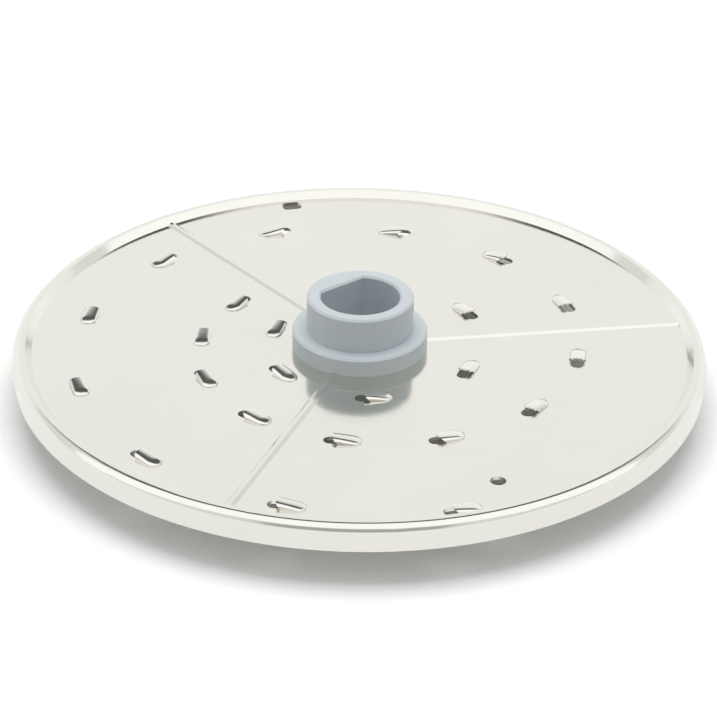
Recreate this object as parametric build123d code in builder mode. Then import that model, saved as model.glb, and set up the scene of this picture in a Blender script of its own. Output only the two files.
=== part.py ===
from build123d import *
from math import atan2, cos, radians, sin, tan
import os

# Disc: one stamped sheet, flat between three low ribs and a raised rim that turns down to a skirt
disc_diameter = 175.0
sheet = 0.9
panel_height = 14.2         # upper face of the panels above the hub's lower end
rim_rise = 1.8              # crest of the rim above the panels
rim_slope = 50.0            # inner wall of the rim, degrees from the panels
rim_width = 3.1             # outer edge of the disc to the upper edge of that wall
rim_bend = 2.5              # outer radius of the bend from the rim to its skirt
flat_turn = 22.5            # degrees from one flat of that bend to the next, four turns in all
skirt_height = 6.8          # crest of the rim to the lower edge of the skirt
rib_count = 3
rib_angle = 9.0             # first rib, counter-clockwise from +X
rib_width = 2.5             # at the panels
rib_height = 0.45
rib_slope = 28.0            # sides of a rib, degrees from the panels

# Teeth: one spiral of lanced hoods, each with a hole in front of its mouth
first_tooth_gap = 5.2       # hub collar to the first tooth's centre line
tooth_pitch = 2.54          # each tooth cuts this much further out than the last
first_tooth_angle = 162.4
inner_tooth_step = 57.6     # turn from tooth to tooth near the hub
outer_tooth_step = 29.38    # turn from tooth to tooth further out
step_change_gap = 18.5      # hub collar to where the closer spacing begins
hood_length = 5.4           # mouth to tail
hood_width = 4.2            # at the panel
hood_height = 1.3           # at the mouth
tail_height = 0.4           # step down to the panel round the tail
hood_draft = 15.0           # lean of the hood's sides, degrees from upright
hood_wall = 0.5
lip_rake = 40.0             # overhang of the cutting lip, degrees from upright
mouth_hole_length = 3.9

# Two plain holes through the panels, placed inwards from the panels' outer edge
round_hole_diameter = 3.8
round_hole_inset = 10.7
round_hole_angle = 297.0
square_hole_length = 5.2    # along the rim
square_hole_width = 4.2     # across the rim
square_hole_corner = 1.2
square_hole_inset = 3.2
square_hole_angle = 104.2

# Hub: one moulding through the middle of the disc
hub_height = 28.1
sleeve_diameter = 27.0
collar_diameter = 34.2
collar_height = 4.7         # above the panels
flange_thickness = 4.0      # below the panels
core_wall = 2.0             # plastic between the bore and the sheet's middle hole
bore_diameter = 20.0
bore_flat = 7.4             # axis to the flat of the bore
bore_flat_rib = 1           # the flat faces along this rib
hub_edge = 0.5              # chamfer round the upper edges of the sleeve and the collar
bore_lead = 0.5             # chamfer at both mouths of the bore

disc_radius = disc_diameter / 2
collar_radius = collar_diameter / 2
bore_radius = bore_diameter / 2
crest_height = panel_height + rim_rise
panel_radius = disc_radius - rim_width
panel_floor_radius = panel_radius - rim_rise / tan(radians(rim_slope))
lower_edge = crest_height - skirt_height
first_tooth_radius = collar_radius + first_tooth_gap


def turn_down(form, bend):
    """Rounds the upper edge of a round form by three flats that touch an arc of radius bend."""
    turn = radians(flat_turn)
    chamfer(form.edges().group_by(Axis.Z)[-1], bend * (1 - tan(turn)))
    circles = form.edges().filter_by(GeomType.CIRCLE).group_by(Axis.Z)
    chamfer(circles[-1] + circles[-2], bend * (tan(turn) - tan(turn / 2)))


def pressed_form(below, bend):
    """Solid body under the pressed face, or under a face that lies a sheet's thickness below it."""
    rim_shift = below * tan(radians(rim_slope / 2))
    rib_shift = below * tan(radians(rib_slope / 2))
    with BuildPart() as form:
        with BuildSketch(Plane.XY.offset(lower_edge)):
            Circle(disc_radius - below)
        extrude(amount=skirt_height - below)
        turn_down(form, bend)
        with BuildSketch(Plane.XY.offset(crest_height - below)):
            Circle(panel_radius + rim_shift)
        extrude(amount=-rim_rise, taper=90 - rim_slope, mode=Mode.SUBTRACT)
        with BuildSketch(Plane.XY.offset(panel_height - below)):
            with PolarLocations(bore_radius, rib_count, start_angle=rib_angle):
                Rectangle(
                    panel_radius + rim_shift - bore_radius,
                    rib_width - 2 * rib_shift,
                    align=(Align.MIN, Align.CENTER),
                )
        extrude(amount=rib_height, taper=90 - rib_slope)
    return form.part


def tooth_planes():
    """Place of each tooth's mouth on the panels, its X pointing the way the mouth faces."""
    planes = []
    radius = first_tooth_radius
    angle = first_tooth_angle
    while radius + hood_width / 2 < panel_floor_radius:
        forward = Vector(sin(radians(angle)), -cos(radians(angle)), 0)
        centre = Vector(radius * cos(radians(angle)), radius * sin(radians(angle)), panel_height)
        mouth = centre + forward * ((hood_length - mouth_hole_length) / 2)
        planes.append(Plane(origin=mouth, x_dir=forward, z_dir=(0, 0, 1)))
        angle += inner_tooth_step if radius < collar_radius + step_change_gap else outer_tooth_step
        radius += tooth_pitch
    return planes


# One tooth: a hood whose flat back rises from a blunt round tail to a raked lip, over one long hole
hood_tilt = atan2(hood_height - tail_height, hood_length)
hood_root = hood_width / 2 + sheet / 2 * tan(radians(hood_draft))
hole_width = hood_width - 2 * hood_wall
hole_tail = hood_length - hood_width / 2
hole_bend = mouth_hole_length - hole_width / 2
back_plane = Plane((0, 0, hood_height), z_dir=(-sin(hood_tilt), 0, cos(hood_tilt)))
lip_plane = Plane((0, 0, 0), z_dir=(cos(radians(lip_rake)), 0, -sin(radians(lip_rake))))

with BuildPart() as hood:
    with BuildSketch(Plane.XY.offset(-sheet / 2)):
        SlotOverall(2 * hood_length + 2 * hood_root - hood_width, 2 * hood_root)
    extrude(amount=sheet / 2 + 2 * hood_height, taper=hood_draft)
    split(bisect_by=back_plane, keep=Keep.BOTTOM)
    split(bisect_by=lip_plane, keep=Keep.BOTTOM)

with BuildPart() as mouth_cut:
    with BuildSketch(Plane.XY.offset(-2 * sheet)):
        with Locations((-hole_tail, 0)):
            Rectangle(hole_tail + hole_bend, hole_width, align=(Align.MIN, Align.CENTER))
        with Locations((hole_bend, 0)):
            Circle(hole_width / 2)
    extrude(amount=2 * sheet + 2 * hood_height)
    split(bisect_by=back_plane.offset(-hood_wall), keep=Keep.BOTTOM)

# Disc
lower_form = pressed_form(sheet, rim_bend - sheet)

with BuildPart() as grating_disc:
    add(pressed_form(0, rim_bend))
    add(lower_form, mode=Mode.SUBTRACT)
    with BuildSketch():
        Circle(bore_radius + core_wall)
        with PolarLocations(panel_floor_radius - round_hole_inset, 1, start_angle=round_hole_angle):
            Circle(round_hole_diameter / 2)
        with PolarLocations(panel_floor_radius - square_hole_inset, 1, start_angle=square_hole_angle):
            RectangleRounded(square_hole_width, square_hole_length, square_hole_corner)
    extrude(amount=hub_height, mode=Mode.SUBTRACT)
    with Locations(*tooth_planes()):
        add(hood.part)
    with Locations(*tooth_planes()):
        add(mouth_cut.part, mode=Mode.SUBTRACT)
grating_disc.part.label = "grating_disc"

# Hub, moulded round the sheet so that its collar is notched where the ribs run under it
sleeve_radius = sleeve_diameter / 2
flange_height = panel_height - sheet - flange_thickness
collar_top = panel_height + collar_height
with BuildPart() as drive_hub:
    with BuildSketch(Plane.XZ) as section:
        with BuildLine():
            Polyline(
                (0, 0),
                (sleeve_radius, 0),
                (sleeve_radius, flange_height),
                (collar_radius, flange_height),
                (collar_radius, collar_top),
                (sleeve_radius, collar_top),
                (sleeve_radius, hub_height),
                (0, hub_height),
                close=True,
            )
        make_face()
        collar_corners = section.vertices().group_by(Axis.X)[-1].sort_by(Axis.Y)
        sleeve_corners = section.vertices().group_by(Axis.X)[1].sort_by(Axis.Y)
        chamfer([collar_corners[-1], sleeve_corners[-1]], hub_edge)
    revolve(axis=Axis.Z)
    with BuildSketch():
        Circle(bore_radius)
        flat_angle = rib_angle + bore_flat_rib * 360 / rib_count
        with PolarLocations(bore_flat, 1, start_angle=flat_angle):
            Rectangle(
                bore_diameter,
                bore_diameter,
                align=(Align.MIN, Align.CENTER),
                mode=Mode.SUBTRACT,
            )
    extrude(amount=hub_height, mode=Mode.SUBTRACT)
    ends = drive_hub.faces().filter_by(Plane.XY).sort_by(Axis.Z)
    chamfer(ends[0].inner_wires()[0].edges() + ends[-1].inner_wires()[0].edges(), bore_lead)
    add(grating_disc.part, mode=Mode.SUBTRACT)
drive_hub.part.label = "drive_hub"

os.makedirs("parts", exist_ok=True)
export_step(grating_disc.part, "parts/grating_disc.step")
export_step(drive_hub.part, "parts/drive_hub.step")
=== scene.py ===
from math import copysign, cos, pi, radians, sin, sqrt, tan

import bmesh
import bpy
from mathutils import Matrix, Vector


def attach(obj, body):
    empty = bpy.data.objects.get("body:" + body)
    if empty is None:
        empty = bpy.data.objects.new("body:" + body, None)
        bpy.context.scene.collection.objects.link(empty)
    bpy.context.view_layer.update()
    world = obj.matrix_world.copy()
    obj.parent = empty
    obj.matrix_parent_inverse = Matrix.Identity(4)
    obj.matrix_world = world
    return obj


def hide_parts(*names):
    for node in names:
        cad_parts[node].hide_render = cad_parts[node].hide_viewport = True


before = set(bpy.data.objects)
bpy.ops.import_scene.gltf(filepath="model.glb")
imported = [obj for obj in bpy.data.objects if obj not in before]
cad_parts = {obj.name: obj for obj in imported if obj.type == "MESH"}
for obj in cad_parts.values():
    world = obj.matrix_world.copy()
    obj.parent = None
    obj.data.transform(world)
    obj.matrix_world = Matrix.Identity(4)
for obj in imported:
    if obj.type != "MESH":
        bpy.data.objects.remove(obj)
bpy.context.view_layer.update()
millimetre = 0.001

# Camera: the photograph's view of the disc
camera_place = Vector((-0.000238, -0.59333, 0.34910))
camera_target = Vector((-0.000238, -0.007893, 0.0142))
camera_roll = radians(0.897)
camera_lens = 134.68
camera_sensor = 36.0
camera_reach = 20.0

# Floor, sizes in metres
floor_reach = 1.0
floor_white = "#FAFAFA"
floor_lift = 0.13               # glow of the floor where it is seen
painted_shade_radius = 0.055            # the floor under the disc gets no lift: a painted shade under the disc, so that the holes stay dark
lit_radius = 0.08

# Studio that the steel mirrors: degrees over the disc from the backdrop's foot, and brightness there
studio_levels = (
    (0, 1.0), (10, 1.12), (20, 1.12), (26, 1.05), (38, 1.05), (44, 0.1),
    (60, 0.1), (67, 1.25), (132, 1.25), (140, 0.48), (180, 0.48),
)

# Side walls of the studio: sideways part of a direction, and brightness there
wall_levels = (
    (-0.5, 0.86), (-0.3, 0.0), (0.3, 0.0), (0.5, 0.86),
)
room_fill = 0.45                # share of the studio's light that reaches matt surfaces

# Lamp overhead, sizes in metres
softbox_distance = 2.4
softbox_lean = radians(9)       # from straight up, away from the camera
softbox_width = 2.0
softbox_depth = 1.6
softbox_level = 3.4

# Polished steel, sizes in mm
steel_tones = ("#E1E0D8", "#E6E5DE")
steel_roughness = (0.10, 0.15)
smear_size = 22
smear_detail = 3.0
mark_size = 9
mark_detail = 4.0
mark_stretch = 14.0             # how much narrower the buffing marks are across their run
mark_range = (0.3, 0.7)         # part of the noise that the roughness follows
mark_depth = 0.02
mark_strength = 0.02

# Moulded plastic, sizes in mm
plastic_tones = ("#CAD3D8", "#D2DADD")
plastic_roughness = (0.36, 0.48)
plastic_ior = 1.48
flow_size = 7
flow_detail = 3.0
grit_size = 0.45
grit_detail = 2.0
grit_depth = 0.02
grit_strength = 0.15

# Smoothing of the CAD facets
weld_distance = 1e-6
same_plane = radians(0.5)
flat_crease = radians(10)       # hollow corners and corners between broad flats crease above this
broad_flat = 40 * millimetre**2
disc_round_below = radians(45)  # gentler turns on the disc shade as round
hub_round_below = radians(40)
flats_weight = 100              # the broadest faces at a corner set its shading normal

# Places of the teeth, in mm and degrees as in the CAD
tooth_count = 24
panel_height = 14.2
first_tooth_radius = 22.3
tooth_pitch = 2.54
first_tooth_angle = 162.4
inner_tooth_step = 57.6
outer_tooth_step = 29.38
step_change_radius = 35.6
mouth_offset = 0.75             # centre of a tooth to its mouth

# Rounded hoods, sizes in mm
hood_length = 5.4
hood_half_width = 2.12
hood_height = 1.4
tail_height = 0.5
hood_wall = 0.4
hood_sink = 0.15                # how far a hood's foot dips into the sheet
lip_rake = radians(50)
hood_squareness = 2.9           # 2 is an ellipse across the hood, more is squarer
tail_start = 0.01               # first row, just short of the tip where a row would shrink to a point
foot_turn = 0.01                # turns this close to either end of a row are its feet
hood_rows = 14
hood_columns = 14


def linear(hex_colour):
    """Linear RGBA from an sRGB hex colour."""
    channels = [int(hex_colour[i:i + 2], 16) / 255 for i in (1, 3, 5)]
    return [c / 12.92 if c <= 0.04045 else ((c + 0.055) / 1.055) ** 2.4 for c in channels] + [1.0]


def per_metre(size_mm):
    """Pattern scale whose features are about size_mm across."""
    return 1 / (size_mm * millimetre)


def add_node(tree, kind, settings=None, inputs=None, links=None):
    """Adds a node, sets its properties and sockets, and links sockets by (socket, node, output)."""
    node = tree.nodes.new(kind)
    for name, value in (settings or {}).items():
        setattr(node, name, value)
    for name, value in (inputs or {}).items():
        node.inputs[name].default_value = value
    for socket, source, output in links or ():
        tree.links.new(source.outputs[output], node.inputs[socket])
    return node


def new_material(name):
    """An empty material and its node tree."""
    material = bpy.data.materials.new(name)
    material.use_nodes = True
    material.node_tree.nodes.clear()
    return material, material.node_tree


def add_noise(tree, size_mm, detail, source, output):
    """Noise whose features are about size_mm across, on the given coordinates."""
    return add_node(tree, "ShaderNodeTexNoise", inputs={"Scale": per_metre(size_mm), "Detail": detail},
                    links=[("Vector", source, output)])


def add_tones(tree, tones, noise):
    """Colour that runs between two tones with a noise."""
    ramp = add_node(tree, "ShaderNodeValToRGB", links=[("Fac", noise, "Fac")])
    for stop, tone in zip(ramp.color_ramp.elements, tones):
        stop.color = linear(tone)
    return ramp


def add_relief(tree, strength, depth_mm, noise):
    """Fine bump from a noise."""
    return add_node(tree, "ShaderNodeBump",
                    inputs={"Strength": strength, "Distance": depth_mm * millimetre},
                    links=[("Height", noise, "Fac")])


def add_surface(tree, inputs, tone, gloss, relief):
    """Principled surface with the given tone, gloss and relief, as the material's output."""
    surface = add_node(tree, "ShaderNodeBsdfPrincipled", inputs=inputs,
                       links=[("Base Color", tone, "Color"), ("Roughness", gloss, "Result"),
                              ("Normal", relief, "Normal")])
    add_node(tree, "ShaderNodeOutputMaterial", links=[("Surface", surface, "BSDF")])


def polished_stainless():
    """Bright-rolled stainless sheet: a near mirror, faintly warm, with soft drawn-out buffing marks."""
    material, tree = new_material("polished_stainless_sheet")
    place = add_node(tree, "ShaderNodeTexCoord")
    smears = add_noise(tree, smear_size, smear_detail, place, "Object")
    drawn = add_node(tree, "ShaderNodeMapping", inputs={"Scale": (1.0, mark_stretch, 1.0)},
                     links=[("Vector", place, "Object")])
    marks = add_noise(tree, mark_size, mark_detail, drawn, "Vector")
    tone = add_tones(tree, steel_tones, smears)
    gloss = add_node(tree, "ShaderNodeMapRange",
                     inputs={"From Min": mark_range[0], "From Max": mark_range[1],
                             "To Min": steel_roughness[0], "To Max": steel_roughness[1]},
                     links=[("Value", marks, "Fac")])
    relief = add_relief(tree, mark_strength, mark_depth, marks)
    add_surface(tree, {"Metallic": 1.0}, tone, gloss, relief)
    return material


def moulded_hub_plastic():
    """Blue-grey acetal, injection moulded: satin, with a fine tool texture and slight flow mottling."""
    material, tree = new_material("moulded_blue_grey_acetal")
    place = add_node(tree, "ShaderNodeTexCoord")
    flow = add_noise(tree, flow_size, flow_detail, place, "Object")
    grit = add_noise(tree, grit_size, grit_detail, place, "Object")
    tone = add_tones(tree, plastic_tones, flow)
    gloss = add_node(tree, "ShaderNodeMapRange",
                     inputs={"To Min": plastic_roughness[0], "To Max": plastic_roughness[1]},
                     links=[("Value", flow, "Fac")])
    relief = add_relief(tree, grit_strength, grit_depth, grit)
    add_surface(tree, {"IOR": plastic_ior}, tone, gloss, relief)
    return material


def is_crease(edge, round_below):
    """Hollow corners, corners between broad flats, and turns sharper than round_below keep a crease."""
    if len(edge.link_faces) != 2:
        return True
    broad = min(face.calc_area() for face in edge.link_faces) > broad_flat
    return edge.calc_face_angle() > (flat_crease if broad or not edge.is_convex else round_below)


def tooth_frames():
    """Mouth of each tooth on the panel: its X the way the mouth faces, its Z up, in metres."""
    radius = first_tooth_radius
    angle = radians(first_tooth_angle)
    for _ in range(tooth_count):
        forward = Vector((sin(angle), -cos(angle), 0))
        centre = Vector((radius * cos(angle), radius * sin(angle), panel_height))
        across = Vector((0, 0, 1)).cross(forward)
        axes = Matrix((forward, across, Vector((0, 0, 1)))).transposed().to_4x4()
        yield Matrix.Translation((centre + forward * mouth_offset) * millimetre) @ axes
        angle += radians(inner_tooth_step if radius < step_change_radius else outer_tooth_step)
        radius += tooth_pitch


def hood_point(along, turn):
    """A hood's outer face in mm: along is 0 at the tail and 1 at the lip, turn runs foot to foot."""
    along = max(along, tail_start)
    back = hood_length * (1 - along)
    swell = sqrt(1 - (max(0.0, back - hood_length + hood_half_width) / hood_half_width) ** 2)
    height = (tail_height + (hood_height - tail_height) * along) * swell
    side = copysign(abs(cos(turn)) ** (2 / hood_squareness), cos(turn)) * hood_half_width * swell
    rise = height * max(0.0, sin(turn)) ** (2 / hood_squareness)
    foot = 0.0 if foot_turn < turn < pi - foot_turn else hood_sink
    return Vector((rise * tan(lip_rake) * along - back, side, rise - foot))


def is_flat_sided_hood(spot):
    """Whether a place in a tooth's own frame, in mm, is on the hood that the CAD has there."""
    in_length = -hood_length < spot.x < hood_half_width
    return in_length and abs(spot.y) < hood_half_width and spot.z > hood_sink


def press_hoods(shape):
    """Swaps the CAD's flat-sided hoods for rounded ones on the same feet, as pressed sheet bulges."""
    for place in tooth_frames():
        to_tooth = place.inverted()
        flat_sided = [face for face in shape.faces
                      if is_flat_sided_hood(to_tooth @ face.calc_center_median() / millimetre)]
        bmesh.ops.delete(shape, geom=flat_sided, context="FACES")
        grid = bmesh.ops.create_grid(shape, x_segments=hood_rows, y_segments=hood_columns, size=1)
        for vert in grid["verts"]:
            point = hood_point((1 + vert.co.x) / 2, pi * (1 - vert.co.y) / 2)
            vert.co = place @ (point * millimetre)
        faces = list(dict.fromkeys(face for vert in grid["verts"] for face in vert.link_faces))
        for face in faces:
            face.normal_update()
        bmesh.ops.solidify(shape, geom=faces, thickness=hood_wall * millimetre)


def smooth_copy(node_name, piece_name, material, round_below, reshape=None):
    """A welded copy of a CAD node whose bends shade as round surfaces and whose flats stay flat."""
    mesh = bpy.data.meshes.new(piece_name)
    shape = bmesh.new()
    shape.from_mesh(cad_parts[node_name].data)
    bmesh.ops.remove_doubles(shape, verts=shape.verts, dist=weld_distance)
    bmesh.ops.dissolve_limit(shape, angle_limit=same_plane, verts=shape.verts, edges=shape.edges)
    if reshape:
        reshape(shape)
    for face in shape.faces:
        face.smooth = True
        face.material_index = 0
    for edge in shape.edges:
        edge.smooth = not is_crease(edge, round_below)
    shape.to_mesh(mesh)
    shape.free()
    mesh.materials.clear()
    mesh.materials.append(material)
    piece = bpy.data.objects.new(piece_name, mesh)
    bpy.context.scene.collection.objects.link(piece)
    weighted = piece.modifiers.new("flats_first", "WEIGHTED_NORMAL")
    weighted.keep_sharp = True
    weighted.weight = flats_weight
    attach(piece, "root")
    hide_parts(node_name)


def place_camera():
    """Camera at the photograph's place, rolled about its own line of sight."""
    forward = (camera_target - camera_place).normalized()
    right = forward.cross(Vector((0, 0, 1))).normalized()
    up = right.cross(forward)
    rolled_right = right * cos(camera_roll) + up * sin(camera_roll)
    rolled_up = rolled_right.cross(forward)
    camera = bpy.data.objects.new("camera", bpy.data.cameras.new("camera"))
    camera.data.lens = camera_lens
    camera.data.sensor_width = camera_sensor
    camera.data.clip_end = camera_reach
    axes = Matrix((rolled_right, rolled_up, -forward)).transposed()
    camera.matrix_world = Matrix.Translation(camera_place) @ axes.to_4x4()
    bpy.context.scene.collection.objects.link(camera)
    bpy.context.scene.camera = camera


def lay_floor():
    """White table top, lifted by a little glow round the disc where it is seen, also in the steel; the
    glow fades to none under the disc, a painted shade there.
    """
    mesh = bpy.data.meshes.new("floor")
    shape = bmesh.new()
    bmesh.ops.create_grid(shape, x_segments=1, y_segments=1, size=floor_reach)
    shape.to_mesh(mesh)
    shape.free()
    material, tree = new_material("white_table")
    ray = add_node(tree, "ShaderNodeLightPath")
    direct = add_node(tree, "ShaderNodeMath", settings={"operation": "ADD"},
                      links=[(0, ray, "Is Camera Ray"), (1, ray, "Is Glossy Ray")])
    seen = add_node(tree, "ShaderNodeMath", settings={"operation": "ADD", "use_clamp": True},
                    links=[(0, direct, "Value"), (1, ray, "Is Transmission Ray")])
    place = add_node(tree, "ShaderNodeTexCoord")
    reach = add_node(tree, "ShaderNodeVectorMath", settings={"operation": "LENGTH"},
                     links=[(0, place, "Object")])
    # Glow by distance from the axis: none under the disc, a painted shade there that keeps the holes
    # dark
    painted_shade_ramp = add_node(tree, "ShaderNodeMapRange", settings={"interpolation_type": "SMOOTHSTEP"},
                    inputs={"From Min": painted_shade_radius, "From Max": lit_radius, "To Max": floor_lift},
                    links=[("Value", reach, "Value")])
    lift = add_node(tree, "ShaderNodeMath", settings={"operation": "MULTIPLY"},
                    links=[(0, seen, "Value"), (1, painted_shade_ramp, "Result")])
    matt = add_node(tree, "ShaderNodeBsdfDiffuse", inputs={"Color": linear(floor_white)})
    glow = add_node(tree, "ShaderNodeEmission", links=[("Strength", lift, "Value")])
    both = add_node(tree, "ShaderNodeAddShader", links=[(0, matt, "BSDF"), (1, glow, "Emission")])
    add_node(tree, "ShaderNodeOutputMaterial", links=[("Surface", both, "Shader")])
    mesh.materials.append(material)
    floor = bpy.data.objects.new("floor", mesh)
    bpy.context.scene.collection.objects.link(floor)


def hang_softbox():
    """Area lamp facing the origin, hidden from reflections; at level 1 its face is white."""
    lamp = bpy.data.lights.new("overhead_softbox", "AREA")
    lamp.shape = "RECTANGLE"
    lamp.size = softbox_width
    lamp.size_y = softbox_depth
    lamp.energy = softbox_level * pi * softbox_width * softbox_depth
    softbox = bpy.data.objects.new("overhead_softbox", lamp)
    place = Vector((0, softbox_distance * sin(softbox_lean), softbox_distance * cos(softbox_lean)))
    facing = place.to_track_quat("Z", "Y").to_matrix().to_4x4()
    softbox.matrix_world = Matrix.Translation(place) @ facing
    softbox.visible_glossy = False
    bpy.context.scene.collection.objects.link(softbox)


def set_stops(ramp, stops):
    """Grey levels at places along a colour ramp."""
    elements = ramp.color_ramp.elements
    while len(elements) > 1:
        elements.remove(elements[-1])
    for number, (place, level) in enumerate(stops):
        stop = elements.new(place) if number else elements[0]
        stop.position = place
        stop.color = (level, level, level, 1.0)


def light_studio():
    """World that the steel mirrors as a studio, and that the camera sees as plain white."""
    world = bpy.data.worlds.new("studio")
    world.use_nodes = True
    tree = world.node_tree
    tree.nodes.clear()
    place = add_node(tree, "ShaderNodeTexCoord")
    direction = add_node(tree, "ShaderNodeSeparateXYZ", links=[("Vector", place, "Generated")])
    over = add_node(tree, "ShaderNodeMath", settings={"operation": "ARCTAN2"},
                    links=[(0, direction, "Z"), (1, direction, "Y")])
    turn = add_node(tree, "ShaderNodeMapRange", inputs={"From Max": pi},
                    links=[("Value", over, "Value")])
    studio = add_node(tree, "ShaderNodeValToRGB", links=[("Fac", turn, "Result")])
    set_stops(studio, [(degrees_over / 180, level) for degrees_over, level in studio_levels])
    sideways = add_node(tree, "ShaderNodeMapRange", inputs={"From Min": -1.0},
                        links=[("Value", direction, "X")])
    walls = add_node(tree, "ShaderNodeValToRGB", links=[("Fac", sideways, "Result")])
    set_stops(walls, [((part + 1) / 2, level) for part, level in wall_levels])
    level = add_node(tree, "ShaderNodeMath", settings={"operation": "MAXIMUM"},
                     links=[(0, studio, "Color"), (1, walls, "Color")])
    ray = add_node(tree, "ShaderNodeLightPath")
    seen = add_node(tree, "ShaderNodeMapRange", inputs={"To Max": 1.0},
                    links=[("Value", ray, "Is Camera Ray"), ("To Min", level, "Value")])
    fill = add_node(tree, "ShaderNodeMapRange", inputs={"To Min": 1.0, "To Max": room_fill},
                    links=[("Value", ray, "Is Diffuse Ray")])
    sky = add_node(tree, "ShaderNodeBackground",
                   links=[("Color", seen, "Result"), ("Strength", fill, "Result")])
    add_node(tree, "ShaderNodeOutputWorld", links=[("Surface", sky, "Background")])
    bpy.context.scene.world = world


steel = polished_stainless()
plastic = moulded_hub_plastic()
smooth_copy("grating_disc", "toothed_disc", steel, disc_round_below, press_hoods)
smooth_copy("drive_hub", "hub_moulding", plastic, hub_round_below)
place_camera()
lay_floor()
light_studio()
hang_softbox()
bpy.context.scene.view_settings.view_transform = "Standard"
